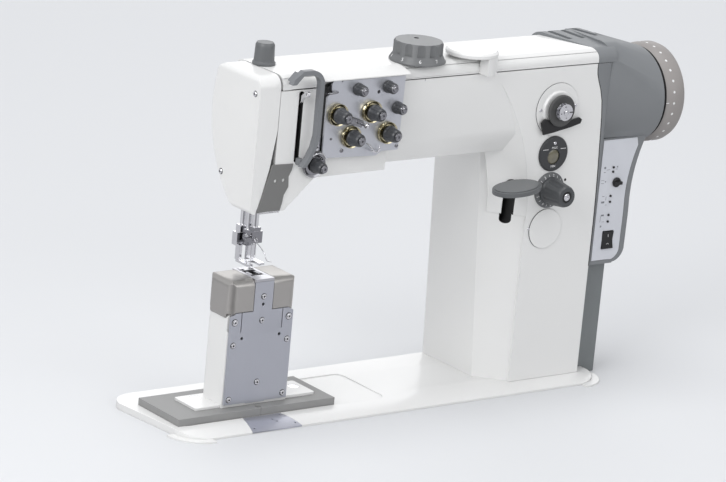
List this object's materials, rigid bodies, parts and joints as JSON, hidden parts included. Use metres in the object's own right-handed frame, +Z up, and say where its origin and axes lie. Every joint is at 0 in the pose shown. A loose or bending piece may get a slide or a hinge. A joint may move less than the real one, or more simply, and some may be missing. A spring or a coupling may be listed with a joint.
{
  "type": "double-needle lockstitch machine",
  "caption": "Post-bed lockstitch sewing machine with twin needles, tall post, high arm, thread tension plate, handwheel, direct drive housing and operator controls.",
  "frame": {"origin": "On the bed's top plane, on the needle line: X and Y at the midpoint between the needles (the needle bar's axis), Z at the bed's top surface.", "axes": "+X along the arm from the head to the handwheel, +Y away from the operator, +Z up"},
  "size_m": [0.766, 0.1974, 0.5415],
  "materials": {
    "white_enamel": "smooth gloss enamel",
    "dark_enamel": "semi-matt enamel",
    "white_plastic": "smooth satin gloss",
    "plated_steel": "ground and plated",
    "lilac_plate": "finely brushed, satin",
    "bright_steel": "polished",
    "satin_steel": "satin, slightly warm",
    "belt_rubber": "matt",
    "wheel_plastic": "moulded, matt",
    "guard_grey": "satin grey",
    "black_plastic": "matt",
    "disc_brass": "polished, pale",
    "knob_grey": "moulded, satin",
    "dial_grey": "moulded, satin",
    "gauge_black": "satin gloss",
    "gauge_glass": "clear with a tinted field",
    "paddle_grey": "satin gloss",
    "motor_grey": "moulded, fine matt",
    "panel_grey": "printed foil, matt"
  },
  "bodies": {
    "machine": {"bed_casting": "white_enamel", "oil_pan": "dark_enamel", "corner_cushions": "white_plastic", "slide_plate": "plated_steel", "post_base_left": "dark_enamel", "post_base_right": "dark_enamel", "post_body": "white_enamel", "post_front_plate": "lilac_plate", "screws": "bright_steel", "throat_plate": "bright_steel", "bobbin_cases": "plated_steel", "toothed_belt": "belt_rubber", "arm_casting": "white_enamel", "top_cover": "white_plastic", "face_cover": "white_plastic", "take_up_guard": "guard_grey", "chin_plate": "satin_steel", "tension_plate": "lilac_plate", "tension_carrier": "black_plastic", "tension_discs": "disc_brass", "thread_guides": "bright_steel", "top_cap": "white_plastic", "winder_plate": "white_plastic", "gauge_bezel": "gauge_black", "gauge_window": "gauge_glass", "round_cover": "white_plastic", "motor_housing": "motor_grey", "control_panel": "panel_grey", "panel_lamps": "black_plastic", "cable_duct": "motor_grey"},
    "drive": {"arm_shaft": "plated_steel", "handwheel": "wheel_plastic"},
    "lower_drive": {"lower_shaft": "plated_steel"},
    "left_hook": {"hook_left": "bright_steel"},
    "right_hook": {"hook_right": "bright_steel"},
    "feed": {"feed_dog": "bright_steel"},
    "needles": {"needle_bar": "bright_steel"},
    "walker": {"walking_foot": "bright_steel"},
    "presser": {"presser_foot": "bright_steel"},
    "take_up": {"take_up_lever": "bright_steel"},
    "left_cover": {"hook_cover_left": "satin_steel"},
    "right_cover": {"hook_cover_right": "satin_steel"},
    "pressure": {"pressure_knob": "knob_grey"},
    "stroke": {"stroke_dial": "dial_grey"},
    "winder": {"winder_spindle": "bright_steel", "winder_disc": "knob_grey"},
    "winder_catch": {"winder_lever": "black_plastic"},
    "stitch": {"stitch_scale": "knob_grey", "stitch_knob": "knob_grey"},
    "reverse": {"reverse_lever": "paddle_grey"},
    "rocker": {"rocker_switch": "black_plastic"},
    "speed": {"speed_knob": "black_plastic"},
    "tension_knob_a_body": {"tension_knob_a": "knob_grey"},
    "tension_knob_b_body": {"tension_knob_b": "knob_grey"},
    "tension_knob_c_body": {"tension_knob_c": "knob_grey"},
    "tension_knob_d_body": {"tension_knob_d": "knob_grey"},
    "pre_knob_a_body": {"pre_knob_a": "knob_grey"},
    "pre_knob_b_body": {"pre_knob_b": "knob_grey"},
    "pre_knob_c_body": {"pre_knob_c": "knob_grey"},
    "lower_knob_body": {"lower_knob": "knob_grey"}
  },
  "joints": [
    {"name": "handwheel_turn", "type": "hinge", "parent": "machine", "child": "drive", "pos_m": [0, -0.014, 0.366], "axis": [1, 0, 0], "continuous": true},
    {"name": "lower_shaft_turn", "type": "hinge", "parent": "machine", "child": "lower_drive", "pos_m": [0, 0.002, -0.033], "axis": [1, 0, 0], "continuous": true},
    {"name": "left_hook_turn", "type": "hinge", "parent": "machine", "child": "left_hook", "pos_m": [-0.024, 0.002, 0.1645], "axis": [0, 0, 1], "continuous": true},
    {"name": "right_hook_turn", "type": "hinge", "parent": "machine", "child": "right_hook", "pos_m": [0.024, 0.002, 0.1645], "axis": [0, 0, 1], "continuous": true},
    {"name": "feed_stroke", "type": "slide", "parent": "machine", "child": "feed", "axis": [0, 1, 0], "range_m": [-0.005, 0.005]},
    {"name": "needle_stroke", "type": "slide", "parent": "machine", "child": "needles", "axis": [0, 0, 1], "range_m": [-0.024, 0.002]},
    {"name": "walking_stroke", "type": "slide", "parent": "machine", "child": "walker", "axis": [0, 0, 1], "range_m": [-0.009, 0.006]},
    {"name": "presser_lift", "type": "slide", "parent": "machine", "child": "presser", "axis": [0, 0, 1], "range_m": [-0.009, 0.006]},
    {"name": "take_up_swing", "type": "hinge", "parent": "machine", "child": "take_up", "pos_m": [0.0115, -0.022, 0.372], "axis": [1, 0, 0], "range_deg": [-4, 60]},
    {"name": "left_cover_swing", "type": "hinge", "parent": "machine", "child": "left_cover", "pos_m": [-0.041, -0.031, 0.121], "axis": [0, 1, 0], "range_deg": [-50, 0]},
    {"name": "right_cover_swing", "type": "hinge", "parent": "machine", "child": "right_cover", "pos_m": [0.041, -0.031, 0.121], "axis": [0, 1, 0], "range_deg": [0, 50]},
    {"name": "pressure_turn", "type": "hinge", "parent": "machine", "child": "pressure", "pos_m": [-0.006, 0.003, 0.441], "axis": [0, 0, 1], "range_deg": [-180, 180]},
    {"name": "stroke_turn", "type": "hinge", "parent": "machine", "child": "stroke", "pos_m": [0.202, -0.036, 0.441], "axis": [0, 0, 1], "range_deg": [-150, 150]},
    {"name": "winder_turn", "type": "hinge", "parent": "machine", "child": "winder", "pos_m": [0.422, -0.057, 0.366], "axis": [0, 1, 0], "continuous": true},
    {"name": "winder_catch_swing", "type": "hinge", "parent": "machine", "child": "winder_catch", "pos_m": [0.424, -0.057, 0.344], "axis": [0, 1, 0], "range_deg": [-6, 6]},
    {"name": "stitch_turn", "type": "hinge", "parent": "machine", "child": "stitch", "pos_m": [0.422, -0.057, 0.258], "axis": [0, 1, 0], "range_deg": [-150, 150]},
    {"name": "reverse_press", "type": "hinge", "parent": "machine", "child": "reverse", "pos_m": [0.371, 0.008, 0.262], "axis": [1, 0, 0], "range_deg": [0, 22], "stiffness_Nm_per_rad": 1.2, "springref_deg": -14.32},
    {"name": "rocker_tilt", "type": "hinge", "parent": "machine", "child": "rocker", "pos_m": [0.5325, -0.053, 0.1795], "axis": [1, 0, 0], "range_deg": [-8, 8]},
    {"name": "speed_turn", "type": "hinge", "parent": "machine", "child": "speed", "pos_m": [0.537, -0.056, 0.258], "axis": [0, 1, 0], "range_deg": [-140, 140]},
    {"name": "tension_knob_a_turn", "type": "hinge", "parent": "machine", "child": "tension_knob_a_body", "pos_m": [0.06, -0.057, 0.39], "axis": [0, 1, 0], "range_deg": [-180, 180]},
    {"name": "tension_knob_b_turn", "type": "hinge", "parent": "machine", "child": "tension_knob_b_body", "pos_m": [0.112, -0.057, 0.39], "axis": [0, 1, 0], "range_deg": [-180, 180]},
    {"name": "tension_knob_c_turn", "type": "hinge", "parent": "machine", "child": "tension_knob_c_body", "pos_m": [0.083, -0.057, 0.36], "axis": [0, 1, 0], "range_deg": [-180, 180]},
    {"name": "tension_knob_d_turn", "type": "hinge", "parent": "machine", "child": "tension_knob_d_body", "pos_m": [0.139, -0.057, 0.361], "axis": [0, 1, 0], "range_deg": [-180, 180]},
    {"name": "pre_knob_a_turn", "type": "hinge", "parent": "machine", "child": "pre_knob_a_body", "pos_m": [0.089, -0.057, 0.42], "axis": [0, 1, 0], "range_deg": [-180, 180]},
    {"name": "pre_knob_b_turn", "type": "hinge", "parent": "machine", "child": "pre_knob_b_body", "pos_m": [0.135, -0.057, 0.42], "axis": [0, 1, 0], "range_deg": [-180, 180]},
    {"name": "pre_knob_c_turn", "type": "hinge", "parent": "machine", "child": "pre_knob_c_body", "pos_m": [0.152, -0.057, 0.392], "axis": [0, 1, 0], "range_deg": [-180, 180]},
    {"name": "lower_knob_turn", "type": "hinge", "parent": "machine", "child": "lower_knob_body", "pos_m": [0.036, -0.057, 0.326], "axis": [0, 1, 0], "range_deg": [-180, 180]}
  ],
  "couplings": [
    {"joint": "lower_shaft_turn", "follows": "handwheel_turn", "ratio": 1},
    {"joint": "left_hook_turn", "follows": "handwheel_turn", "ratio": 2},
    {"joint": "right_hook_turn", "follows": "handwheel_turn", "ratio": 2}
  ]
}
